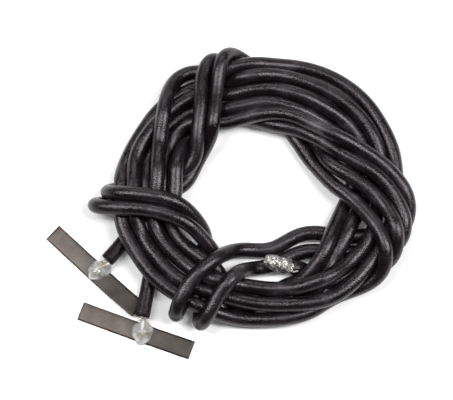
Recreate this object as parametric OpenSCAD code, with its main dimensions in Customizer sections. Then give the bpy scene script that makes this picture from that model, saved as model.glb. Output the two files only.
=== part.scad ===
// Soil moisture sensor: two rubber-covered leads coiled side by side into a hank.
// Each lead has a thin metal electrode strip soldered crosswise to one end and a
// tinned bare tip on the other. Everything lies on the plane z = 0.
// The origin is on that plane, midway between the two electrode strips.

/* [Lead] */
// Outside diameter of the rubber insulation
cord_d = 3.6; // [3:0.1:4]
// Diameter of the stranded copper conductor
conductor_d = 1.9; // [1.2:0.1:2.2]
// Diameter of the tinned tip, where the strands are doubled back and soldered
tip_d = 3.0; // [2.4:0.1:3.2]
// Length of the tinned tip outside the insulation
tip_l = 7.6; // [6:0.1:9]

/* [Electrodes] */
// Length of each electrode strip
strip_l = 30; // [26:0.5:34]
// Width of each electrode strip
strip_w = 4.8; // [4:0.1:6]
// Thickness of each electrode strip
strip_t = 0.3; // [0.2:0.05:0.5]
// Diameter of the solder joint on electrode A
solder_a_d = 5.6; // [4.6:0.1:6]
// Diameter of the solder joint on electrode B
solder_b_d = 5.8; // [4.6:0.1:6]
// Height of each solder joint above its strip
solder_h = 2.8; // [2.4:0.1:3.2]

/* [Hank] */
// Half of the hank's left to right size, at the middle of the bundle
hank_rx = 29; // [28:0.5:31]
// Half of the hank's front to back size, at the middle of the bundle
hank_ry = 25.5; // [24:0.5:27]
// Width of the bundle, lying flat
bundle_w = 18; // [16:0.5:20]
// Height of the bundle, lying flat
bundle_h = 7.6; // [7:0.2:9]

/* [Hidden] */

RUBBER = [0.10, 0.10, 0.12];
STRIP = [0.55, 0.52, 0.48];
SOLDER = [0.75, 0.74, 0.72];
TINNED = [0.78, 0.77, 0.74];

// Where each strip lies, and the angle of its length about +Z.
STRIP_A_AT = [-6.3, 5.5];
STRIP_A_TURN = -43;
STRIP_B_AT = [4.2, -9.8];
STRIP_B_TURN = -21.5;

// Where each solder joint stands, on the top face of its strip.
SOLDER_A_AT = [-5.4, 5.7, strip_t];
SOLDER_B_AT = [5.8, -10.4, strip_t];

// Each lead's straight end: where its conductor stops inside the solder, where
// its rubber is cut, and where it comes out from under the hank.
LEAD_A_END = [-5.2, 5.9, 1.9];
LEAD_A_CUT = [-3.4, 8.3, 1.9];
LEAD_A_ROOT = [-0.4, 12.3, 1.9];
LEAD_B_END = [5.7, -9.8, 1.9];
LEAD_B_CUT = [6.1, -6.6, 1.9];
LEAD_B_ROOT = [6.9, -0.2, 1.9];

// The hank's ring: its middle, and how finely its faces are cut.
HANK_AT = [36.6, 26];
RING_STEPS = 36;
ROUND_STEPS = 12;
TUBE_SIDES = 8;

// Clear gap between a wrap and the bundle that it goes round.
wrap_gap = 0.15;
WRAP_STEPS = 9;

// Each wrap goes over the bundle from the inside of the ring to the outside.
// [angle round the ring inside, angle outside, how far it bulges outside].
LEAD_A_LEFT = [233, 191, 4.6];
LEAD_B_LEFT = [222, 182, 5.4];
LEAD_A_TOP = [170, 115, 1.4];
LEAD_B_TOP = [158, 104, 1.2];
LEAD_A_RIGHT = [62, -12, 0];
LEAD_B_RIGHT = [46, -24, 0];
LEAD_A_BOTTOM = [232, 236, 0.8];
LEAD_B_BOTTOM = [243, 249, 0.8];

// The other ends: lead A's lies in a dip on top of the hank, lead B's in a hollow
// beneath it. Each has its place, its turn about +Z and its tilt below level.
TAIL_A_TIP = [37.1, 7.3, 5.6];
TAIL_A_TURN = -15;
TAIL_A_TILT = 12;
TAIL_B_TIP = [36.5, -3.0, 1.9];
TAIL_B_TURN = 4;
TAIL_B_TILT = 0;
tail_l = 3.4;
dip_half_w = 3.2;
dip_ahead = 14;
hollow_room = 0.4;

function unit(v) = v / norm(v);

// One station of a swept tube: a round of points about p, across the direction d.
function station(p, d, ref, rx, ry, sides) =
    let (side = unit(cross(d, ref)), up = unit(cross(side, d)))
    [for (k = [0 : sides - 1])
        p + rx * cos(360 * k / sides) * side + ry * sin(360 * k / sides) * up];

// The direction of a route at its point i.
function heading(route, i) =
    let (n = len(route), a = route[max(i - 1, 0)], b = route[min(i + 1, n - 1)])
    unit(b - a);

// A tube with closed ends, swept along a route.
module tube(route, ref) {
    n = len(route);
    s = TUBE_SIDES;
    points = [for (i = [0 : n - 1])
        each station(route[i], heading(route, i), ref, cord_d / 2, cord_d / 2, s)];
    walls = [for (i = [0 : n - 2]) for (k = [0 : s - 1])
        let (a = i * s + k, b = i * s + (k + 1) % s)
        each [[a, b, b + s], [a, b + s, a + s]]];
    first = [for (k = [0 : s - 1]) s - 1 - k];
    last = [for (k = [0 : s - 1]) (n - 1) * s + k];
    polyhedron(points, concat(walls, [first, last]));
}

// A point beside the ring: u outwards from the middle of the bundle, w above the plane.
function ring_point(turn, u, w) =
    let (out = unit([cos(turn) / hank_rx, sin(turn) / hank_ry]))
    [HANK_AT[0] + hank_rx * cos(turn) + u * out[0],
     HANK_AT[1] + hank_ry * sin(turn) + u * out[1],
     w];

// The bundle as one closed ring with an oval section.
module bundle_ring() {
    n = RING_STEPS;
    s = ROUND_STEPS;
    points = [for (i = [0 : n - 1]) for (k = [0 : s - 1])
        let (a = 360 * k / s)
        ring_point(360 * i / n, bundle_w / 2 * cos(a), bundle_h / 2 * (1 + sin(a)))];
    walls = [for (i = [0 : n - 1]) for (k = [0 : s - 1])
        let (next = ((i + 1) % n) * s, k2 = (k + 1) % s)
        [i * s + k2, next + k2, next + k, i * s + k]];
    polyhedron(points, walls);
}

// One lead going over the bundle, from the plane inside the ring to the plane outside.
module wrap(spec) {
    reach_u = bundle_w / 2 + cord_d / 2 + wrap_gap;
    reach_w = bundle_h / 2 + cord_d / 2 + wrap_gap;
    low = asin((cord_d / 2 - bundle_h / 2) / reach_w);
    route = [for (i = [0 : WRAP_STEPS - 1])
        let (t = i / (WRAP_STEPS - 1),
             a = (180 - low) + t * (2 * low - 180),
             turn = spec[0] + t * (spec[1] - spec[0]),
             bulge = spec[2] * max(0, cos(a)))
        ring_point(turn, reach_u * cos(a) + bulge, bundle_h / 2 + reach_w * sin(a))];
    middle = (spec[0] + spec[1]) / 2;
    color(RUBBER) tube(route, [-sin(middle), cos(middle), 0]);
}

// Turns +Z to lie along the line from one point to another, at the first point.
module along(from, to) {
    d = to - from;
    flat = norm([d[0], d[1]]);
    translate(from) rotate([0, atan2(flat, d[2]), atan2(d[1], d[0])]) children();
}

module electrode(at, turn) {
    color(STRIP) translate([at[0], at[1], 0]) rotate(turn)
        translate([-strip_l / 2, -strip_w / 2, 0]) cube([strip_l, strip_w, strip_t]);
}

module electrode_a() {
    electrode(STRIP_A_AT, STRIP_A_TURN);
}

module electrode_b() {
    electrode(STRIP_B_AT, STRIP_B_TURN);
}

// A lead's conductor, from inside the solder back through its rubber.
module conductor(end, root) {
    color(TINNED) along(end, root) cylinder(d = conductor_d, h = norm(root - end), $fn = 32);
}

module lead_a_conductor() {
    conductor(LEAD_A_END, LEAD_A_ROOT);
}

module lead_b_conductor() {
    conductor(LEAD_B_END, LEAD_B_ROOT);
}

// A domed solder joint, hollowed where the conductor enters it.
module solder_joint(at, d, end, root) {
    color(SOLDER) difference() {
        translate(at) rotate_extrude($fn = 48)
            polygon(concat([[0, 0]], [for (a = [0 : 15 : 75])
                [d / 2 * cos(a), solder_h * sin(a)]], [[0, solder_h]]));
        conductor(end, root);
    }
}

module solder_joint_a() {
    solder_joint(SOLDER_A_AT, solder_a_d, LEAD_A_END, LEAD_A_ROOT);
}

module solder_joint_b() {
    solder_joint(SOLDER_B_AT, solder_b_d, LEAD_B_END, LEAD_B_ROOT);
}

// A straight length of rubber insulation with its conductor's bore.
module sleeve(from, to) {
    l = norm(to - from);
    color(RUBBER) along(from, to) difference() {
        cylinder(d = cord_d, h = l, $fn = 48);
        translate([0, 0, -1]) cylinder(d = conductor_d, h = l + 2, $fn = 32);
    }
}

module lead_a_insulation() {
    sleeve(LEAD_A_CUT, LEAD_A_ROOT);
}

module lead_b_insulation() {
    sleeve(LEAD_B_CUT, LEAD_B_ROOT);
}

// The ring of turns, with a dip above lead A's tail and a hollow round lead B's.
module hank() {
    half = cord_d / 2 + hollow_room;
    color(RUBBER) difference() {
        bundle_ring();
        tail_a_place() translate([-bundle_h * 2, -dip_half_w, -dip_ahead])
            cube([bundle_h * 2 + half, dip_half_w * 2, dip_ahead + tip_l + tail_l]);
        tail_b_place() translate([-half, -half, -half])
            cube([half * 3, half * 2, tip_l + tail_l + half]);
    }
}

module lead_a_left_wrap() {
    wrap(LEAD_A_LEFT);
}

module lead_b_left_wrap() {
    wrap(LEAD_B_LEFT);
}

module lead_a_top_wrap() {
    wrap(LEAD_A_TOP);
}

module lead_b_top_wrap() {
    wrap(LEAD_B_TOP);
}

module lead_a_right_wrap() {
    wrap(LEAD_A_RIGHT);
}

module lead_b_right_wrap() {
    wrap(LEAD_B_RIGHT);
}

module lead_a_bottom_wrap() {
    wrap(LEAD_A_BOTTOM);
}

module lead_b_bottom_wrap() {
    wrap(LEAD_B_BOTTOM);
}

// In a tail's place, +Z runs from the end of its tinned tip to the rubber, and +X down.
module tail_a_place() {
    translate(TAIL_A_TIP) rotate([0, 90 + TAIL_A_TILT, TAIL_A_TURN]) children();
}

module tail_b_place() {
    translate(TAIL_B_TIP) rotate([0, 90 + TAIL_B_TILT, TAIL_B_TURN]) children();
}

module tinned_tip() {
    color(TINNED) cylinder(d = tip_d, h = tip_l, $fn = 48);
    color(TINNED) translate([0, 0, tip_l]) cylinder(d = conductor_d, h = tail_l, $fn = 32);
}

module tail_sleeve() {
    color(RUBBER) translate([0, 0, tip_l]) difference() {
        cylinder(d = cord_d, h = tail_l, $fn = 48);
        translate([0, 0, -1]) cylinder(d = conductor_d, h = tail_l + 2, $fn = 32);
    }
}

module tinned_tip_a() {
    tail_a_place() tinned_tip();
}

module tinned_tip_b() {
    tail_b_place() tinned_tip();
}

module lead_a_tail_insulation() {
    tail_a_place() tail_sleeve();
}

module lead_b_tail_insulation() {
    tail_b_place() tail_sleeve();
}

electrode_a();
electrode_b();
solder_joint_a();
solder_joint_b();
lead_a_conductor();
lead_b_conductor();
lead_a_insulation();
lead_b_insulation();
hank();
lead_a_left_wrap();
lead_b_left_wrap();
lead_a_top_wrap();
lead_b_top_wrap();
lead_a_right_wrap();
lead_b_right_wrap();
lead_a_bottom_wrap();
lead_b_bottom_wrap();
lead_a_tail_insulation();
lead_b_tail_insulation();
tinned_tip_a();
tinned_tip_b();
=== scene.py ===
"""Looks of the soil moisture sensor: two rubber-covered leads coiled into one hank.

Everything stands in the part's own frame. Lengths in this file are in millimetres, apart
from those of the lights, the floor and the materials, which are in metres.
"""

import math
import random

import bmesh
import bpy
import numpy as np
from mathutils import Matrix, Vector

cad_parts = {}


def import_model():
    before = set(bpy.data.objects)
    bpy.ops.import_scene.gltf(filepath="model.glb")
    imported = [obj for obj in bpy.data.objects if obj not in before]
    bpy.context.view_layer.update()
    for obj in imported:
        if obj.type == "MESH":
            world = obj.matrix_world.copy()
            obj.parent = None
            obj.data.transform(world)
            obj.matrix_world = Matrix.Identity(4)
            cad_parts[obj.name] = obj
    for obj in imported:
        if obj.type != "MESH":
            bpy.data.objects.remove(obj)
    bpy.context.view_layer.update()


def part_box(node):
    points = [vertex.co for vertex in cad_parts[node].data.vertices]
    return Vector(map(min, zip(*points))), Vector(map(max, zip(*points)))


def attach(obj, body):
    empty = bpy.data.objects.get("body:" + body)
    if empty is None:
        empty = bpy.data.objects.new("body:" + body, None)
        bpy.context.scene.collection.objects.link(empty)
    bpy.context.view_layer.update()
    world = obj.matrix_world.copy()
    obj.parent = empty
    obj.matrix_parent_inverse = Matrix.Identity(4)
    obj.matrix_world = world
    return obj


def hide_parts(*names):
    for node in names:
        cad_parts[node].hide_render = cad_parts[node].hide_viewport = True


MM = 0.001

# Outside diameter of a lead's rubber, and how much its looks add to the radius.
CORD_D = 3.6
RUBBER_EXTRA = 0.09

# Spacing along a lead: of the line that is settled, of its mesh, and of its declared path.
# SIDES is how many sides the mesh has.
LINE_STEP = 1.5
MESH_STEP = 0.8
SIDES = 28

# Rounds of settling, and how much higher than half of CORD_D a middle line is kept.
ROUNDS = 300
FLOOR_GAP = 0.14

# Length, width and thickness of an electrode strip, and how each is turned, in degrees.
STRIP = (30.0, 4.8, 0.3)
STRIP_A_TURN = -43
STRIP_B_TURN = -20.3

# Where the two tinned tips end, and the wire that sticks out past the rubber at tip A.
TIP_A_END = (36.6, 7.6, 6.1)
TIP_B_END = (36.5, -3.0, 1.9)
STRAY_WIRE = [(42.8, 4.9, 5.4), (44, 4.4, 6.1), (45.3, 4.5, 6.5)]

# Where each lead's bare strands enter the solder.
STRANDS_A_END = (-5.2, 6.0, 1.5)
STRANDS_B_END = (5.8, -9.6, 1.5)

# The camera looks down at the part from in front, from this far away.
LOOK_AT = (27.2, 24.25, 0.0)
CAMERA_DISTANCE = 600.0
CAMERA_ELEVATION = 78.0
LENS = 185.6

# Soft lights: name, place and size in metres, and power. The world adds a little.
SOFTBOXES = [
    ("softbox_right", (0.55, 0.02, 0.8), (0.2, 0.8), 10),
    ("softbox_left", (-0.5, 0.1, 0.85), (0.18, 0.8), 8.5),
    ("softbox_back", (0.05, 0.85, 0.6), (0.9, 0.18), 2.9),
]
WORLD_STRENGTH = 0.03
FLOOR_HALF = 1.5
FLOOR_HEIGHT = -0.00005

# Routes are chosen on the level plane at this height, as the camera sees them, so a
# point that lies lower or higher sits a little further back or forward.
SIGHT_LEVEL = 4.0


# ---------------------------------------------------------------- routes of the leads

# Lead A, from its rubber's cut end by the electrode to the one at its tinned tip.
# Each row is one stretch: x, y and height of the cord's middle, in millimetres.
LEAD_A = [
    # straight end by the electrode, then under the wraps up the left side
    [(-3.2, 7.7, 2), (-1.2, 9.9, 1.9), (0.7, 12.3, 1.8), (3, 15.3, 1.8), (4.8, 18.5, 1.8),
     (6, 21.5, 4), (6.5, 25.5, 5.3), (6.7, 29.5, 4.8), (7.2, 34, 3.2), (8.2, 38, 2.8),
     (10.5, 41.2, 2.4), (13.8, 43.6, 2.4), (17, 46, 2.6), (19.4, 47.2, 2.4), (22.5, 46.8, 2)],
    # along the back
    [(26, 46.4, 3), (28.4, 47.3, 4), (31, 48.3, 4.8), (34, 49.1, 5.2), (38, 49.5, 5.4),
     (42, 48.9, 5), (46, 47.4, 4.4), (50, 45, 3.4), (53, 43, 2.4), (56, 40.5, 1.8),
     (59, 36.5, 1.8), (60.3, 32, 1.8), (60, 28, 1.8), (58.7, 24.8, 1.8)],
    # down the right side and under the front turn
    [(57.3, 22, 2.5), (56.3, 19.7, 3), (55.3, 17.5, 4), (54.4, 15.2, 5), (53.5, 13, 5.8),
     (52.6, 11, 6.2), (51.6, 9, 6.4), (50.3, 7.2, 6), (48.6, 5.2, 4.8), (46.4, 3.8, 3),
     (43.6, 2.4, 1.9), (40.6, 0.2, 1.8), (37.4, -2.2, 1.8), (34.2, -3.9, 1.8), (31, -4.5, 1.8),
     (28.2, -3.8, 1.9), (26.6, -1.6, 2.3), (26, 1.2, 3), (25, 4, 4.2), (23.5, 6.7, 5.4)],
    # up the left side again
    [(21, 8.4, 5.4), (18.5, 10, 5.2), (16.5, 11.9, 4.8), (14.3, 14.3, 4.6), (12.9, 17, 4.2),
     (12.8, 20, 4.8), (13.5, 23.5, 5.4), (14, 27, 5.4), (14.3, 30, 5), (15.1, 33, 4.4),
     (16.2, 36.5, 3.6), (17.8, 39.8, 3), (20.5, 42, 2)],
    # along the back, the inmost turn
    [(24, 43, 1.8), (27.4, 44.4, 1.8), (30.6, 45.2, 2), (34.4, 44.6, 2.8), (38, 43.5, 4.2),
     (42, 42.8, 5.2), (46, 41.7, 5.5), (49.2, 40.1, 6)],
    # over the bundle at the right
    [(51.9, 38.5, 6.6), (55.2, 36.4, 7.5), (59, 34.1, 7.8), (62.8, 31.9, 7.8), (66.2, 29.2, 7.2),
     (69.2, 25.9, 6.2), (71.1, 22.4, 5), (71.9, 18.7, 3.8), (71.6, 15.2, 2.4), (70.3, 12, 1.8),
     (67.3, 9.8, 1.8), (63.4, 9.2, 1.8), (59.4, 9.8, 1.8), (55.4, 10, 1.8)],
    # round the bundle at the front, the right-hand one of the pair
    [(51.4, 9.6, 1.8), (48.6, 10.4, 1.8), (46, 9.7, 1.8), (43.6, 8.7, 1.8), (41, 7.2, 1.8),
     (38, 6, 1.8), (35, 5.7, 1.9), (32, 5.2, 2.6), (29.5, 4, 4.5), (27.3, 2, 6.8),
     (25.5, -0.3, 8.6), (23.7, -3.8, 8.8), (22.6, -6, 8.3), (21.5, -7.7, 7), (20.8, -8.6, 5.3),
     (20.4, -8.5, 3.6), (20.3, -7.4, 2.3), (20.7, -5.4, 1.8), (22, -1.6, 1.8), (24.2, 3, 1.8),
     (24.2, 7, 1.8)],
    # round the bundle at the left, the lower one of the pair
    [(22.8, 10.6, 2.8), (21, 13.4, 5.2), (19.5, 15.6, 7.4), (17.4, 17.4, 9), (15, 18.8, 9.8),
     (12, 19.9, 10.2), (8, 20.8, 10.2), (4, 21.2, 9.6), (0.4, 21.4, 9.2), (-2.8, 21.5, 9),
     (-4.7, 21.6, 8.4), (-6, 21.8, 7.1), (-6.5, 22, 5.4), (-6, 22.3, 3.7), (-4.7, 22.5, 2.3),
     (-2.8, 22.7, 1.8), (1, 22.6, 1.8), (6, 23, 1.8), (11, 24.8, 1.8), (14.6, 27.2, 1.8)],
    # round the bundle at the back, the inner one of the pair
    [(17.2, 30, 1.8), (19.4, 33, 2.3), (20.7, 35.3, 3.3), (21.8, 37.5, 4.7), (22.7, 40, 5.8),
     (23.3, 43, 7), (24, 46.5, 8.2), (24.5, 50, 8.6), (24.9, 54, 8.2), (25.5, 57.5, 6.8),
     (26.9, 60.2, 5),
     (29, 61.2, 3.4), (31.2, 60.6, 2.3), (33.4, 59, 1.8), (36, 56.5, 1.8), (39, 53, 1.8),
     (41.6, 49.2, 1.8), (44.2, 45.6, 1.8), (46.8, 42.2, 1.9)],
    # over the bundle at the right and back under it to the tinned tip
    [(49.2, 38.8, 3), (50.8, 36.6, 4.4), (52.3, 34.2, 5.8), (54.6, 32.1, 6.6), (57.5, 30.6, 7),
     (61, 28, 7.2), (64.6, 25.1, 7), (66.8, 22.9, 6.8), (68.5, 20.3, 6.4), (69.6, 17.4, 6),
     (70, 14, 5.6), (69.8, 11, 4.8), (68.7, 8.2, 3.4), (66.6, 6.4, 2.2), (63.8, 5.9, 1.8),
     (60.8, 5.4, 1.8), (58, 4.2, 1.8), (55.4, 2.4, 1.8), (53, 1.5, 1.8), (50.7, 2.3, 1.8),
     (48.6, 4.2, 2.1), (46.2, 5.5, 3.3), (43.6, 5.9, 4.5)],
]

# Lead B, in the same way.
LEAD_B = [
    # straight end by the electrode, then up the left side
    [(5.9, -6.9, 2), (6.6, -3, 1.9), (7.3, 1, 1.8), (8.2, 5.5, 1.8), (9.3, 10, 1.8),
     (10.2, 15, 1.9), (10.8, 20, 3.8), (11.2, 24.5, 5.2), (11.3, 28, 5.2), (11.3, 31, 4.4),
     (11.6, 34, 3.8), (12.6, 37.5, 3.4), (14.2, 40.8, 2.9), (16.5, 43, 2.1), (19.5, 43.8, 1.8),
     (23, 43.2, 2.4)],
    # along the back
    [(26, 43.3, 3.4), (28.2, 44.2, 4.2), (31, 45.2, 4.8), (34, 45.8, 5.3), (38, 46.1, 5.6),
     (42, 45.7, 6.2), (45, 44.9, 6.8), (48, 43.8, 7.3)],
    # over the bundle at the right
    [(50.6, 42.2, 7.7), (53.5, 40.7, 8), (56.5, 39.3, 8), (59.3, 37.9, 7.8), (62.2, 36.2, 7.5),
     (65, 34.3, 7), (68, 31.9, 6.2), (70.5, 29, 5.4), (72.3, 26, 4.6), (73.3, 22.5, 3.6),
     (73.2, 19, 2.6), (72.4, 16, 1.9), (70.2, 14.2, 1.8), (67, 14.4, 1.8), (63.6, 14.6, 1.8),
     (60.4, 13.8, 1.8), (57, 13.8, 1.8)],
    # round the bundle at the front, the left-hand one of the pair
    [(54, 14.2, 1.8), (51, 14.7, 1.8), (48.5, 14.9, 1.8), (46, 14.4, 1.8), (44, 13.5, 1.8),
     (42, 12.3, 1.8), (40, 11, 1.8), (38, 10.2, 1.8), (36, 10.1, 1.9), (33, 10.6, 2.2),
     (30, 10.4, 3), (27, 9.5, 4.4), (24, 7.8, 6.4), (21.5, 5.8, 8), (19, 3.5, 9),
     (17, 1, 9.2), (15.9, -1.6, 8.8), (15.2, -3.7, 8.3), (14.7, -5.5, 7), (14.4, -6.4, 5.3),
     (14.5, -6.3, 3.6), (14.9, -5.2, 2.3), (15.8, -3.1, 1.8), (18, 0.5, 1.8), (20.2, 3.6, 1.8),
     (20.6, 6.8, 1.8)],
    # round the bundle at the left, the upper one of the pair
    [(21.8, 9.8, 1.8), (22.4, 11.6, 2.4), (21.9, 13.5, 3.8), (20.8, 15.8, 5.6), (19.4, 18.1, 7.2),
     (17.5, 20.3, 8.5), (15.4, 22.1, 9.4), (12, 23.6, 10), (8, 24.5, 10.2), (4, 25, 9.6),
     (0.8, 25.2, 8.6), (-1.4, 25.2, 7), (-2.4, 25.2, 4.8), (-1.6, 25.8, 2.6), (1.6, 26.8, 1.8),
     (6.6, 27.8, 1.8), (10.4, 29, 1.8)],
    # round the bundle at the back, the outer one of the pair
    [(13.4, 29.6, 2.8), (16, 30.6, 4.6), (17.6, 31.9, 5.6), (18.7, 33.6, 6), (19.6, 36.4, 6.4),
     (20.1, 39, 7), (20.4, 43, 8), (20.6, 47, 8.8), (20.8, 50.8, 8.9), (20.9, 54, 8),
     (21.4, 56.7, 6.4), (22.7, 58.5, 4.4), (24.5, 58.8, 2.8), (26.6, 57.9, 1.9), (29, 56.3, 1.8),
     (32.5, 52.5, 1.8), (35.6, 49, 1.8), (38.6, 46.2, 1.8), (41.4, 44.4, 2)],
    # across the middle of the pair at the right, to the outermost turn at the front
    [(43.2, 42.4, 2.4), (45.3, 39.5, 3), (47.5, 36.5, 3.4), (49.5, 33.6, 3.8), (51.4, 30.9, 4),
     (53.3, 28.4, 4.4), (55.3, 26.4, 5), (57.5, 25.1, 5.8), (60, 22.8, 6.6), (62.4, 20, 7),
     (64.6, 17.2, 7.2),
     (66.2, 14.5, 7.2), (67.2, 12, 7), (67.4, 9.5, 6.5), (67, 6.8, 5.8), (65.9, 4.2, 4.8),
     (64, 2.3, 4), (62, 1.1, 3.4), (60, 0.3, 3), (58, -0.4, 2.8), (56, -1.2, 2.8),
     (54, -2.1, 2.8), (51, -3.9, 2.8)],
    [(48, -5.6, 2.8), (44, -6.9, 2.8), (40, -7.4, 2.8), (36, -7.5, 2.8), (32, -7.3, 2.8),
     (28, -6.6, 2.8), (25, -5.8, 3.3), (21.5, -4.7, 4.4), (18, -2.8, 5.1)],
    # up the left side
    [(14.7, -0.9, 5.4), (12.1, 0.7, 5.4), (9.8, 2.6, 5.4), (7.6, 5, 5.4), (5.5, 7.9, 5.4),
     (3.6, 11, 5.2), (2, 13.8, 5.2), (0.9, 16.5, 5.2), (0.4, 19.4, 5.3), (0.3, 23, 5.4)],
    [(0.5, 27, 5), (0.8, 30.4, 3.4), (1.8, 34, 2), (3.6, 37.8, 1.8), (5.6, 41, 1.8),
     (7.6, 43.9, 1.8), (9.8, 46.7, 1.8), (12.3, 49.1, 1.8), (15.2, 51, 1.8), (18.4, 52.4, 1.8),
     (21.8, 53.8, 1.8), (25, 54.7, 2.8)],
    # along the back
    [(28, 55.4, 4.8), (32, 56.1, 5.4), (36, 56.4, 5.2), (40, 56.2, 4.8), (44, 55.4, 4.5),
     (48, 54.2, 4.3), (52.4, 52.3, 4.1), (56.8, 49.6, 3.9), (60.8, 46.1, 3.5), (63.9, 42.4, 2.9),
     (66, 38.6, 2.2), (67, 34.5, 1.8), (67.2, 30, 1.8), (66.4, 25, 1.8), (65.4, 20, 3),
     (64.6, 16, 4)],
    # along the front, on top
    [(63.6, 12.9, 4.8), (61, 9.9, 5.4), (58, 7.1, 5.6), (55, 4.9, 5.8), (52, 3.3, 6),
     (48, 1.8, 6), (45, 0.9, 5.8), (42, 0.5, 5.6), (38, 0.4, 5.4), (35, 0.7, 5.4),
     (32, 1.3, 5.4), (29, 2.2, 5.4), (25, 3.2, 5.4), (21, 4.3, 5.4)],
    # up the left side
    [(18.6, 5.3, 5.4), (16.9, 6.7, 5.4), (15, 8.3, 5.4), (13.2, 10, 5.4), (11.5, 12, 5.4),
     (10, 14.2, 5.4), (8.9, 16.8, 5.4), (8.7, 20, 6.6), (9.2, 24, 8), (9.7, 27, 8.4),
     (9.8, 30, 8), (9.9, 34, 7.2), (10.1, 38, 6.8), (10.6, 42, 6.6), (11.2, 46, 6),
     (11.9, 50, 5), (12.9, 53, 4), (14.4, 55.3, 3.2), (16.8, 56.8, 2.6), (20, 57.2, 2.2),
     (24, 57.2, 2.6)],
    # along the back, the outermost turn
    [(27, 57.4, 4.4), (30, 58, 5.4), (34, 58.6, 5.3), (38, 58.9, 4), (42, 58.9, 2.6),
     (46, 58.5, 1.9), (50, 57.5, 1.8), (54, 56, 1.8), (58, 53.6, 1.8), (62, 50.3, 1.8),
     (65, 46.6, 1.8), (67.2, 42.5, 1.8), (68.7, 38.5, 1.8), (69.7, 34.4, 1.8), (70.5, 30.4, 1.8),
     (71, 26, 1.8), (70.8, 21.5, 1.9), (69.4, 16.5, 2.3), (67.3, 12.2, 3.4), (65, 8.8, 4.5)],
    # along the front, on top
    [(63, 6.2, 5.1), (61.5, 4.4, 5.3), (60, 2.8, 5.4), (58, 1.1, 5.4), (56, -0.3, 5.4),
     (54, -1.5, 5.4), (51, -2.7, 5.4), (48, -3.1, 5.4), (44, -3.5, 5.4), (40, -3.6, 5.4),
     (36, -3.4, 5.4), (32, -2.8, 5.4), (29, -2, 5.4), (26, -1, 5.4), (22, 0.3, 5.4),
     (18, 1.6, 5.4)],
    # up the left side
    [(15.8, 2.5, 5.4), (13.8, 3.9, 5.4), (11.8, 5.8, 5.4), (9.8, 8.2, 5.4), (7.8, 11, 5.2),
     (6.2, 13.6, 4.9), (4.9, 16.5, 4.6), (4, 20, 5), (3.4, 24, 5.4), (3.1, 27, 5.2),
     (3.3, 30, 4.6), (4, 34, 4), (5.4, 38, 4), (7.6, 41.4, 3.6), (10.2, 44.4, 3.2),
     (13.3, 47.2, 3.8), (16, 49.3, 4.4), (18.8, 50.6, 4.2), (22.5, 51.2, 3)],
    # along the back
    [(26, 51.2, 3.4), (30, 52, 4.5), (34, 52.5, 5), (38, 52.3, 5.2), (42, 51.4, 5.4),
     (46, 50.3, 5.2), (50, 49, 5), (54.4, 46.6, 4), (58, 43.8, 3), (61.1, 40.2, 2.1),
     (62.8, 35.2, 1.8), (63.5, 30, 1.8), (63, 25, 1.8), (61.5, 21.2, 2.5)],
    # down the right side and under the front turns to the hidden tinned tip
    [(59.8, 18.5, 3.7), (58.5, 16.5, 4.6), (57.6, 14.5, 4.6), (56.6, 12.7, 4.4), (55.6, 11, 4.2),
     (54.6, 9.4, 4), (53.6, 7.4, 3.8), (52.6, 5.2, 3.8), (51.4, 2.7, 3.4), (50, 0.3, 2.5),
     (48.2, -1.7, 1.9), (46, -2.8, 1.9), (44, -3, 1.9)],
]


def on_level(rows):
    """A route's stretches as one array of true places, in millimetres."""
    points = np.array([p for row in rows for p in row], float)
    slant = math.tan(math.radians(90 - CAMERA_ELEVATION))
    points[:, 1] -= slant * (points[:, 2] - SIGHT_LEVEL)
    return points


def smooth_line(points, step):
    """A smooth curve through the points, sampled evenly every step."""
    p = np.vstack([2 * points[0] - points[1], points, 2 * points[-1] - points[-2]])
    samples = []
    for i in range(1, len(p) - 2):
        p0, p1, p2, p3 = p[i - 1], p[i], p[i + 1], p[i + 2]
        for t in np.linspace(0, 1, 12, endpoint=False):
            samples.append(0.5 * (2 * p1 + (p2 - p0) * t
                                  + (2 * p0 - 5 * p1 + 4 * p2 - p3) * t ** 2
                                  + (3 * p1 - p0 - 3 * p2 + p3) * t ** 3))
    line = np.array(samples + [points[-1]])
    return evenly(line, step)


def evenly(line, step):
    """The same line with its points the same distance apart."""
    run = np.concatenate([[0], np.cumsum(np.linalg.norm(np.diff(line, axis=0), axis=1))])
    count = max(2, int(round(run[-1] / step)) + 1)
    along = np.linspace(0, run[-1], count)
    return np.stack([np.interp(along, run, line[:, k]) for k in range(3)], axis=1)


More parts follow.
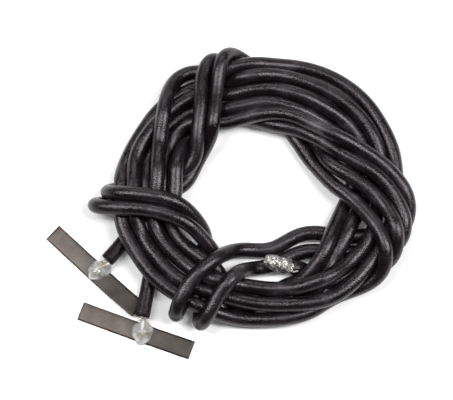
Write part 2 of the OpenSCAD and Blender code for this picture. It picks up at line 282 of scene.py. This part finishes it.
def settle(routes, rounds):
    """Moves the leads' middle lines apart where they press on each other, keeps them above
    the floor and smooth, and otherwise holds them to their chosen routes."""
    apart = CORD_D * 1.005
    floor = CORD_D / 2 + FLOOR_GAP
    give = np.array([0.55, 0.55, 1.25])
    slant = math.tan(math.radians(90 - CAMERA_ELEVATION))
    home = np.vstack(routes)
    x = home.copy()

    # A lead's first three and last two points are moved only by the floor.
    starts = np.cumsum([0] + [len(r) for r in routes])
    spans = list(zip(starts[:-1], starts[1:]))
    free = np.ones(len(x), bool)
    for a, b in spans:
        free[a:a + 3] = False
        free[b - 2:b] = False
    k = np.array([n for a, b in spans for n in range(a + 2, b - 2)])

    # Points this near to each other in the list are never pushed apart.
    near = 5
    i, j = np.triu_indices(len(x), near)
    for turn in range(rounds):
        if turn % 20 == 0:
            close = np.linalg.norm(x[i] - x[j], axis=1) < CORD_D * 2
            ci, cj = i[close], j[close]
        gap = x[ci] - x[cj]
        dist = np.linalg.norm(gap, axis=1)
        hit = dist < apart
        a, b = ci[hit], cj[hit]
        push = gap[hit] / np.maximum(dist[hit], 0.05)[:, None]
        push *= (0.5 * (apart - dist[hit]))[:, None] * give
        move = np.zeros_like(x)
        share = np.zeros(len(x))
        np.add.at(move, a, push)
        np.add.at(move, b, -push)
        np.add.at(share, a, 1)
        np.add.at(share, b, 1)
        move /= np.maximum(share, 1)[:, None] ** 0.5
        bend = np.zeros_like(x)
        bend[k] = -(x[k - 2] - 4 * x[k - 1] + 6 * x[k] - 4 * x[k + 1] + x[k + 2]) / 16
        seen = home - x
        seen[:, 1] += slant * (home[:, 2] - x[:, 2])
        pull = seen * (0.006 if turn > rounds * 0.85 else 0.03)
        pull[:, 2] *= 0.2
        x[free] += (0.8 * move + bend * 0.8 + pull)[free]
        x[:, 2] = np.maximum(x[:, 2], floor)
    return [x[a:b] for a, b in spans]


# ---------------------------------------------------------------- meshes


def new_piece(name, bm, material):
    """A mesh piece that rides with the part and has one of its finishes."""
    mesh = bpy.data.meshes.new(name)
    bm.normal_update()
    bm.to_mesh(mesh)
    bm.free()
    for face in mesh.polygons:
        face.use_smooth = True
    piece = bpy.data.objects.new(name, mesh)
    bpy.context.scene.collection.objects.link(piece)
    piece.data.materials.append(material)
    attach(piece, "root")
    return piece


def frames_along(line):
    """Tangent, side and up at each point of a line, turning as little as they can."""
    tangent = np.gradient(line, axis=0)
    tangent /= np.linalg.norm(tangent, axis=1)[:, None]
    up = np.zeros_like(line)
    start = np.array([0, 0, 1.0]) if abs(tangent[0][2]) < 0.9 else np.array([1.0, 0, 0])
    up[0] = start - tangent[0] * np.dot(start, tangent[0])
    up[0] /= np.linalg.norm(up[0])
    for k in range(1, len(line)):
        u = up[k - 1] - tangent[k] * np.dot(up[k - 1], tangent[k])
        up[k] = u / np.linalg.norm(u)
    return tangent, np.cross(tangent, up), up


def mark(piece, name, values):
    """Gives each of a piece's points a number that its material reads."""
    piece.data.attributes.new(name, "FLOAT", "POINT").data.foreach_set("value", values)


def add_tube(bm, line, radius, sides):
    """A closed tube along a line in millimetres. radius is a number, or a function of how
    far along it is (0 to 1) and the angle round it."""
    _, side, up = frames_along(line)
    count = len(line)
    rings = []
    for k in range(count):
        ring = []
        for s in range(sides):
            a = 2 * math.pi * s / sides
            r = radius(k / (count - 1), a) if callable(radius) else radius
            p = line[k] + r * (math.cos(a) * side[k] + math.sin(a) * up[k])
            ring.append(bm.verts.new(Vector(p * MM)))
        rings.append(ring)
    for k in range(count - 1):
        for s in range(sides):
            t = (s + 1) % sides
            bm.faces.new((rings[k][s], rings[k][t], rings[k + 1][t], rings[k + 1][s]))
    bm.faces.new(list(reversed(rings[0])))
    bm.faces.new(rings[-1])


# ---------------------------------------------------------------- materials

def new_material(name):
    """A new material, with its node tree and its shader."""
    material = bpy.data.materials.new(name)
    material.use_nodes = True
    shader = material.node_tree.nodes["Principled BSDF"]
    return material, material.node_tree, shader


def noise(tree, scale, detail, roughness=0.55):
    """A noise texture in the part's frame, in metres."""
    place = tree.nodes.new("ShaderNodeTexCoord")
    texture = tree.nodes.new("ShaderNodeTexNoise")
    texture.inputs["Scale"].default_value = scale
    texture.inputs["Detail"].default_value = detail
    texture.inputs["Roughness"].default_value = roughness
    tree.links.new(place.outputs["Object"], texture.inputs["Vector"])
    return texture.outputs["Fac"]


def ramp(tree, value, stops):
    """A colour ramp: stops are (position, colour), and a colour of one value is grey."""
    node = tree.nodes.new("ShaderNodeValToRGB")
    ends = node.color_ramp.elements
    while len(ends) < len(stops):
        ends.new(0.5)
    for end, (position, colour) in zip(ends, stops):
        end.position = position
        end.color = (*colour, 1) if len(colour) == 3 else (colour[0],) * 3 + (1,)
    tree.links.new(value, node.inputs["Fac"])
    return node.outputs["Color"]


def bump(tree, shader, height, strength, distance):
    """Roughens a shader's surface by a height value, up to a distance in metres."""
    node = tree.nodes.new("ShaderNodeBump")
    node.inputs["Strength"].default_value = strength
    node.inputs["Distance"].default_value = distance
    tree.links.new(height, node.inputs["Height"])
    tree.links.new(node.outputs["Normal"], shader.inputs["Normal"])


def add_values(tree, a, b, weight):
    """The value a, plus b times a weight."""
    node = tree.nodes.new("ShaderNodeMath")
    node.operation = "MULTIPLY_ADD"
    node.inputs[1].default_value = weight
    tree.links.new(b, node.inputs[0])
    tree.links.new(a, node.inputs[2])
    return node.outputs["Value"]


def mesh_value(tree, name):
    """The number that mark() gave to each point."""
    node = tree.nodes.new("ShaderNodeAttribute")
    node.attribute_name = name
    return node.outputs["Fac"]


def rubber_material():
    """Soft black rubber: dark and satin, with dusty speckle and a faint bloom. It shines
    less near the electrode."""
    material, tree, shader = new_material("black_rubber")
    bloom = noise(tree, 160, 4)
    dust = noise(tree, 2600, 2, 0.7)
    both = add_values(tree, bloom, dust, 0.55)
    colour = ramp(tree, both, [(0.5, (0.0026, 0.0018, 0.0023)), (0.78, (0.0052, 0.0038, 0.0047)),
                               (0.95, (0.016, 0.0125, 0.015)), (1.0, (0.055, 0.05, 0.054))])
    tree.links.new(colour, shader.inputs["Base Color"])
    gloss = ramp(tree, both, [(0.5, (0.2,)), (0.95, (0.34,))])
    tree.links.new(gloss, shader.inputs["Roughness"])
    bump(tree, shader, add_values(tree, dust, noise(tree, 900, 2), 0.6), 0.75, 0.00011)
    shine = tree.nodes.new("ShaderNodeMapRange")
    shine.inputs["To Min"].default_value = 0.46
    shine.inputs["To Max"].default_value = 0.06
    tree.links.new(mesh_value(tree, "near_electrode"), shine.inputs["Value"])
    tree.links.new(shine.outputs["Result"], shader.inputs["Specular IOR Level"])
    shader.inputs["Specular Tint"].default_value = (1, 0.93, 0.98, 1)
    return material


def strip_material():
    """Thin rolled metal strip, satin and faintly mottled, and darker in its right half."""
    material, tree, shader = new_material("electrode_metal")
    stain = noise(tree, 220, 5, 0.6)
    grain = noise(tree, 1500, 3, 0.7)
    both = add_values(tree, stain, grain, 0.35)
    colour = ramp(tree, both, [(0.4, (0.075, 0.062, 0.054)), (0.68, (0.115, 0.099, 0.087)),
                               (0.95, (0.165, 0.146, 0.13))])
    shade = ramp(tree, mesh_value(tree, "along_strip"),
                 [(0.4, (0.88,)), (0.6, (0.52,)), (1, (0.42,))])
    mixed = tree.nodes.new("ShaderNodeMix")
    mixed.data_type = "RGBA"
    mixed.blend_type = "MULTIPLY"
    mixed.inputs["Factor"].default_value = 1
    tree.links.new(colour, mixed.inputs[6])
    tree.links.new(shade, mixed.inputs[7])
    tree.links.new(mixed.outputs[2], shader.inputs["Base Color"])
    gloss = ramp(tree, both, [(0.4, (0.38,)), (0.9, (0.55,))])
    tree.links.new(gloss, shader.inputs["Roughness"])
    shader.inputs["Metallic"].default_value = 0.82
    bump(tree, shader, grain, 0.25, 0.00008)
    return material


def solder_material():
    """Bright smeared solder, with dull patches and brownish stains of flux."""
    material, tree, shader = new_material("solder")
    patch = noise(tree, 520, 3, 0.6)
    colour = ramp(tree, patch, [(0.36, (0.3, 0.25, 0.19)), (0.46, (0.43, 0.42, 0.4)),
                                (0.7, (0.6, 0.6, 0.59))])
    tree.links.new(colour, shader.inputs["Base Color"])
    gloss = ramp(tree, patch, [(0.3, (0.5,)), (0.6, (0.32,)), (0.8, (0.42,))])
    tree.links.new(gloss, shader.inputs["Roughness"])
    shader.inputs["Metallic"].default_value = 0.5
    bump(tree, shader, noise(tree, 1400, 3, 0.6), 0.2, 0.00012)
    return material


def tinned_material():
    """Stranded copper wetted with solder: bright and granular."""
    material, tree, shader = new_material("tinned_copper")
    grain = noise(tree, 1700, 4, 0.7)
    colour = ramp(tree, grain, [(0.38, (0.1, 0.09, 0.08)), (0.5, (0.4, 0.39, 0.37)),
                                (0.62, (0.82, 0.82, 0.8))])
    tree.links.new(colour, shader.inputs["Base Color"])
    gloss = ramp(tree, grain, [(0.35, (0.45,)), (0.65, (0.24,))])
    tree.links.new(gloss, shader.inputs["Roughness"])
    shader.inputs["Metallic"].default_value = 0.92
    bump(tree, shader, grain, 0.9, 0.0004)
    return material


def floor_material():
    """Plain pale sweep, very slightly uneven, with a faint painted glow of its own that lightens
    the shadows on it and in the gaps of the hank.
    """
    material, tree, shader = new_material("floor")
    shade = ramp(tree, noise(tree, 3, 2), [(0.3, (0.88, 0.88, 0.88)), (0.7, (0.9, 0.9, 0.9))])
    tree.links.new(shade, shader.inputs["Base Color"])
    shader.inputs["Roughness"].default_value = 0.9
    shader.inputs["Specular IOR Level"].default_value = 0.1
    # Painted light: a faint white glow over the whole floor that lightens its cast shadows.
    shader.inputs["Emission Color"].default_value = (1, 1, 1, 1)
    shader.inputs["Emission Strength"].default_value = 0.09
    return material


# ---------------------------------------------------------------- pieces

def rubber_radius(seed):
    """The rubber's radius along a lead: nearly even, and rounded off at its cut ends."""
    rough_length = 560
    chance = random.Random(seed)
    waves = [(chance.uniform(9, 60), chance.uniform(0, 6.28), chance.uniform(0.01, 0.022))
             for _ in range(5)]

    def radius(t, a):
        swell = sum(h * math.sin(6.28 * f * t + p) for f, p, h in waves)
        oval = 0.03 * math.cos(2 * a + 40 * t)
        from_end = min(t, 1 - t) * rough_length
        edge = 0.12 * math.exp(-from_end / 0.35)
        return CORD_D / 2 + RUBBER_EXTRA + swell + oval - edge

    return radius


def make_lead(name, line, material, nodes, seed):
    """One lead's rubber as a tube along its settled line."""
    fine = smooth_line(line, MESH_STEP)
    bm = bmesh.new()
    add_tube(bm, fine, rubber_radius(seed), SIDES)
    piece = new_piece(name, bm, material)
    fade = 18
    mark(piece, "near_electrode", [math.exp(-(k // SIDES) * MESH_STEP / fade)
                                   for k in range(len(piece.data.vertices))])
    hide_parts(*nodes)


def make_strip(name, node, turned, bend, material):
    """One electrode: a thin strip with sheared edges, turned about +Z by an angle in
    degrees, and slightly bowed."""
    low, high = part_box(node)
    middle = (low + high) / 2
    length, width, thick = STRIP
    c, s = math.cos(math.radians(turned)), math.sin(math.radians(turned))
    along, across = 56, 10
    bm = bmesh.new()
    chance = random.Random(len(name) + int(turned))
    rough = [chance.uniform(-1, 1) for _ in range(along + 1)]

    def place(i, j, top):
        u = i / along - 0.5
        v = j / across - 0.5
        x = u * length
        y = v * width
        if j in (0, across):
            y += 0.03 * rough[i] * (1 if j else -1)
        lift, curl, sway = bend(u, v)
        y += sway
        crown = 0.05 * (1 - (2 * v) ** 2)
        soft = 0.05 if (j in (0, across) or i in (0, along)) else 0
        z = lift + curl + crown + (thick - soft if top else soft)
        return Vector((middle.x + (x * c - y * s) * MM, middle.y + (x * s + y * c) * MM,
                       max(z, 0.02) * MM))

    tops, bottoms = ([[bm.verts.new(place(i, j, top)) for j in range(across + 1)]
                      for i in range(along + 1)] for top in (True, False))
    for i in range(along):
        for j in range(across):
            bm.faces.new((tops[i][j], tops[i + 1][j], tops[i + 1][j + 1], tops[i][j + 1]))
            bm.faces.new((bottoms[i][j + 1], bottoms[i + 1][j + 1], bottoms[i + 1][j],
                          bottoms[i][j]))
    for i in range(along):
        for j in (0, across):
            a, b, p, q = tops[i][j], tops[i + 1][j], bottoms[i][j], bottoms[i + 1][j]
            bm.faces.new((a, p, q, b) if j == 0 else (b, q, p, a))
    for j in range(across):
        for i in (0, along):
            a, b, p, q = tops[i][j], tops[i][j + 1], bottoms[i][j], bottoms[i][j + 1]
            bm.faces.new((b, q, p, a) if i == 0 else (a, p, q, b))
    piece = new_piece(name, bm, material)
    mark(piece, "along_strip", 2 * [i / along for i in range(along + 1)
                                    for _ in range(across + 1)])
    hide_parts(node)


def make_solder(name, node, profile, material):
    """A solder joint: a lumpy heap on the strip. profile takes a direction and a share of
    the way out, and gives the heap's reach and its height there, in millimetres."""
    low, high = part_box(node)
    middle = (low + high) / 2
    around, rings = 72, 22
    bm = bmesh.new()
    top = bm.verts.new(Vector((middle.x, middle.y, 0.3 * MM + profile(0, 0)[1] * MM)))
    loops = []
    for k in range(1, rings + 1):
        loop = []
        for s in range(around):
            a = 2 * math.pi * s / around
            reach, height = profile(a, k / rings)
            r = reach * k / rings
            loop.append(bm.verts.new(Vector((middle.x + r * math.cos(a) * MM,
                                             middle.y + r * math.sin(a) * MM,
                                             (0.28 + height) * MM))))
        loops.append(loop)
    for s in range(around):
        t = (s + 1) % around
        bm.faces.new((top, loops[0][s], loops[0][t]))
        for a, b in zip(loops[:-1], loops[1:]):
            bm.faces.new((a[s], b[s], b[t], a[t]))
    bm.faces.new(list(reversed(loops[-1])))
    piece = new_piece(name, bm, material)
    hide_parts(node)


def make_strands(name, start, end, node, material, spread, seed):
    """The stranded conductor between a lead's rubber and its solder: fine wires that lie
    round each other and twist. spread is how far they splay at the solder."""
    chance = random.Random(seed)
    start, end = np.array(start, float), np.array(end, float)
    bm = bmesh.new()
    direction = (end - start) / np.linalg.norm(end - start)
    side = np.cross(direction, [0, 0, 1.0])
    side /= np.linalg.norm(side)
    up = np.cross(side, direction)
    wire_radius = 0.17
    wires = [(0, 0)]
    wires += [(2 * wire_radius, 60 * k) for k in range(6)]
    wires += [(4 * wire_radius, 30 * k + 10) for k in range(12)]
    for r, a in wires:
        a += chance.uniform(-8, 8)
        flare = chance.uniform(0.9, spread)
        line = []
        for t in np.linspace(0, 1, 14):
            turn = math.radians(a + 70 * t)
            rr = r * (1 + (flare - 1) * t)
            line.append(start + (end - start) * t
                        + rr * (math.cos(turn) * side + math.sin(turn) * up))
        add_tube(bm, np.array(line), wire_radius, 8)
    piece = new_piece(name, bm, material)
    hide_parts(node)


def make_tip(name, node, base, end, material, seed, stray=None):
    """A tinned tip: strands soldered into a lumpy bundle, and at one tip a stray wire that
    sticks out past the rubber's end."""
    chance = random.Random(seed)
    base, end = np.array(base, float), np.array(end, float)
    line = np.array([base + (end - base) * t for t in np.linspace(-0.12, 1, 60)])
    lumps = [(chance.uniform(5, 26), chance.randint(1, 5), chance.uniform(0, 6.28),
              chance.uniform(0.02, 0.075)) for _ in range(14)]

    def radius(t, a):
        body = 1.55 + 0.45 * math.sin(math.pi * min(1, 0.12 + t * 0.95)) ** 1.3
        if t > 0.86:
            body *= math.sqrt(max(0.02, 1 - ((t - 0.86) / 0.14) ** 2.4))
        if t < 0.14:
            body = min(body, 1.35 + 1.5 * t)
        rib = 0.03 * math.cos(11 * a + 14 * t)
        rough = rib + sum(h * math.sin(f * t + n * a + p) for f, n, p, h in lumps)
        return body + rough * min(1, (1 - t) * 8 + 0.2)

    bm = bmesh.new()
    add_tube(bm, line, radius, 48)
    if stray:
        add_tube(bm, smooth_line(np.array(stray, float), 0.3), 0.2, 10)
    piece = new_piece(name, bm, material)
    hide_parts(node)
    return piece


# ---------------------------------------------------------------- set

def add_camera():
    """The camera, in front of the part and high above it."""
    target = Vector(LOOK_AT) * MM
    tilt = math.radians(CAMERA_ELEVATION)
    back = Vector((0, -math.cos(tilt), math.sin(tilt)))
    camera = bpy.data.cameras.new("camera")
    camera.lens = LENS
    camera.clip_start = 0.01
    rig = bpy.data.objects.new("camera", camera)
    rig.location = target + back * CAMERA_DISTANCE * MM
    rig.rotation_euler = (-back).to_track_quat("-Z", "Y").to_euler()
    bpy.context.scene.collection.objects.link(rig)
    bpy.context.scene.camera = rig


def add_softbox(name, place, size, power):
    """A rectangular light that faces the part."""
    light = bpy.data.lights.new(name, "AREA")
    light.shape = "RECTANGLE"
    light.size, light.size_y = size
    light.energy = power
    rig = bpy.data.objects.new(name, light)
    rig.location = Vector(place)
    facing = Vector(LOOK_AT) * MM - rig.location
    rig.rotation_euler = facing.to_track_quat("-Z", "Y").to_euler()
    bpy.context.scene.collection.objects.link(rig)


def add_floor(material):
    """The plain floor, a hair below the part's own plane."""
    bm = bmesh.new()
    corners = [(-1, -1), (1, -1), (1, 1), (-1, 1)]
    bm.faces.new([bm.verts.new((x * FLOOR_HALF, y * FLOOR_HALF, FLOOR_HEIGHT))
                  for x, y in corners])
    mesh = bpy.data.meshes.new("floor")
    bm.to_mesh(mesh)
    bm.free()
    floor = bpy.data.objects.new("floor", mesh)
    floor.data.materials.append(material)
    bpy.context.scene.collection.objects.link(floor)


def light_set():
    """A faint world, the soft lights, and plain colours."""
    scene = bpy.context.scene
    world = bpy.data.worlds.new("studio")
    world.use_nodes = True
    background = world.node_tree.nodes["Background"]
    background.inputs["Color"].default_value = (1, 1, 1, 1)
    background.inputs["Strength"].default_value = WORLD_STRENGTH
    scene.world = world
    for softbox in SOFTBOXES:
        add_softbox(*softbox)
    scene.view_settings.view_transform = "Standard"
    scene.view_settings.look = "None"


# ---------------------------------------------------------------- this part's own shapes

def lead_nodes(letter):
    """The CAD nodes that one lead's rubber stands for."""
    own = ("insulation", "left_wrap", "top_wrap", "right_wrap", "bottom_wrap",
           "tail_insulation")
    return [f"lead_{letter}_{part}" for part in own] + ["hank"]


def strip_a_bend(u, v):
    """Lift, curl and sideways sway of electrode A at (u along, v across)."""
    right = max(0.0, u + 0.02)
    return 0.25 * right + 0.1 * u * u, 1.7 * right * (0.5 - v) ** 2, 1.2 * right * right


def strip_b_bend(u, v):
    """The same of electrode B."""
    return 0.12 * (u + 0.5), 0.25 * v * u, 0.5 * max(0.0, u)


def towards_lead(a, t, reach, height, lead):
    """Draws a solder heap out along the strands. lead is the direction, in radians, that
    the lead comes from."""
    off = math.remainder(a - lead, 2 * math.pi)
    share = math.exp(-(off / 0.52) ** 2)
    return reach + 0.45 * share, max(height + share * (2.75 - 0.35 * t - height), 0)


def heap_a(a, t):
    """Reach and height of solder joint A in direction a, at a share t of the way out."""
    reach = 2.75 + 0.25 * math.sin(2 * a + 0.9) + 0.16 * math.sin(3 * a + 2)
    reach += 0.1 * math.sin(7 * a)
    height = 2.35 * (1 - t ** 2.1) ** 0.75
    height += 0.1 * math.sin(5 * a + 6 * t) * math.sin(math.pi * t)
    return towards_lead(a, t, reach, height, 0.62)


def heap_b(a, t):
    """The same of solder joint B."""
    reach = 2.8 + 0.22 * math.cos(3 * a - 1.6) + 0.12 * math.sin(6 * a)
    height = 2.6 * (1 - t) ** 0.8 + 0.35 * math.sin(math.pi * t)
    height += 0.12 * math.cos(4 * a) * math.sin(math.pi * t)
    return towards_lead(a, t, reach, height, 1.5)


def strands_start(line):
    """Where a lead's bare strands start: a little way inside its rubber."""
    return line[0] + (line[0] - line[1]) * -1.4


def main():
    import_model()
    add_camera()

    rubber, tinned = rubber_material(), tinned_material()
    routes = [smooth_line(on_level(rows), LINE_STEP) for rows in (LEAD_A, LEAD_B)]
    line_a, line_b = settle(routes, ROUNDS)
    tip_a = make_tip("lead_a_tinned_tip", "tinned_tip_a", line_a[-1], TIP_A_END, tinned,
                     seed=3, stray=STRAY_WIRE)
    tip_b = make_tip("lead_b_tinned_tip", "tinned_tip_b", line_b[-1], TIP_B_END, tinned,
                     seed=4)
    make_lead("lead_a_rubber", line_a, rubber, lead_nodes("a"), seed=11)
    make_lead("lead_b_rubber", line_b, rubber, lead_nodes("b"), seed=12)

    metal, solder = strip_material(), solder_material()
    make_strip("electrode_a_strip", "electrode_a", STRIP_A_TURN, strip_a_bend, metal)
    make_strip("electrode_b_strip", "electrode_b", STRIP_B_TURN, strip_b_bend, metal)
    make_solder("solder_a_heap", "solder_joint_a", heap_a, solder)
    make_solder("solder_b_heap", "solder_joint_b", heap_b, solder)
    make_strands("lead_a_strands", strands_start(line_a), STRANDS_A_END, "lead_a_conductor",
                 tinned, spread=1.05, seed=5)
    make_strands("lead_b_strands", strands_start(line_b), STRANDS_B_END, "lead_b_conductor",
                 tinned, spread=1.0, seed=6)

    add_floor(floor_material())
    light_set()


main()
